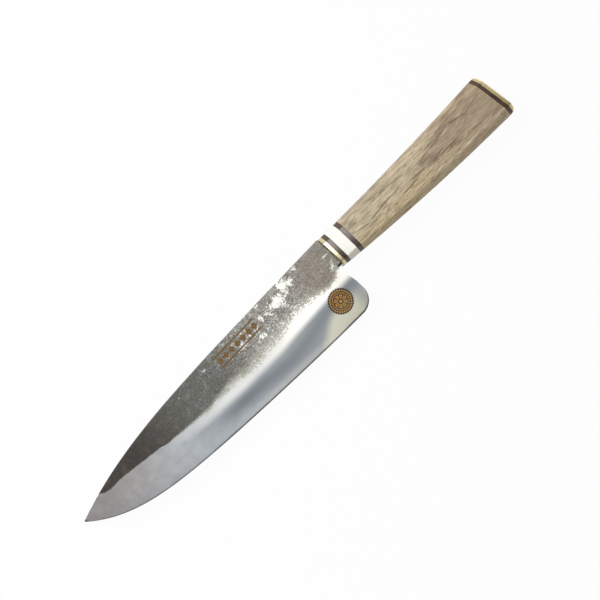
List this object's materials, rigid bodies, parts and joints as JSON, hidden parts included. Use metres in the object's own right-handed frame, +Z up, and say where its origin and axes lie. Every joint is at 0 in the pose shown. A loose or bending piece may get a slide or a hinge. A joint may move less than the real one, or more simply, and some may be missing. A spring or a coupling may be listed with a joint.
{
  "type": "kitchen knife",
  "caption": "Chef's knife with a forged blade, a wide polished bevel and an octagonal wood handle with brass, dark and white rings.",
  "frame": {"origin": "centre of the knife's box, at the height of its lowest face, with the knife lying on its right face", "axes": "+X from the point to the butt, +Y from the edge to the spine, +Z up out of the left face; the blade's middle plane is level"},
  "size_m": [0.347, 0.0494, 0.022],
  "materials": {
    "blade_steel": "grey forged scale above, polished wide bevel below",
    "brass": "satin brass",
    "dark_wood": "polished dark brown hardwood",
    "white_collar": "polished white composite",
    "walnut": "oiled light walnut with grey figure",
    "dowel_wood": "bare pale wood, hidden",
    "bedding": "cured resin, hidden"
  },
  "bodies": {
    "root": {"blade": "blade_steel", "front_plate": "brass", "front_spacer": "dark_wood", "collar": "white_collar", "rear_spacer": "dark_wood", "handle_body": "walnut", "core_dowel": "dowel_wood", "tang_bedding": "bedding", "butt_spacer": "dark_wood", "butt_plate": "brass", "butt_pins": "brass"}
  },
  "joints": []
}
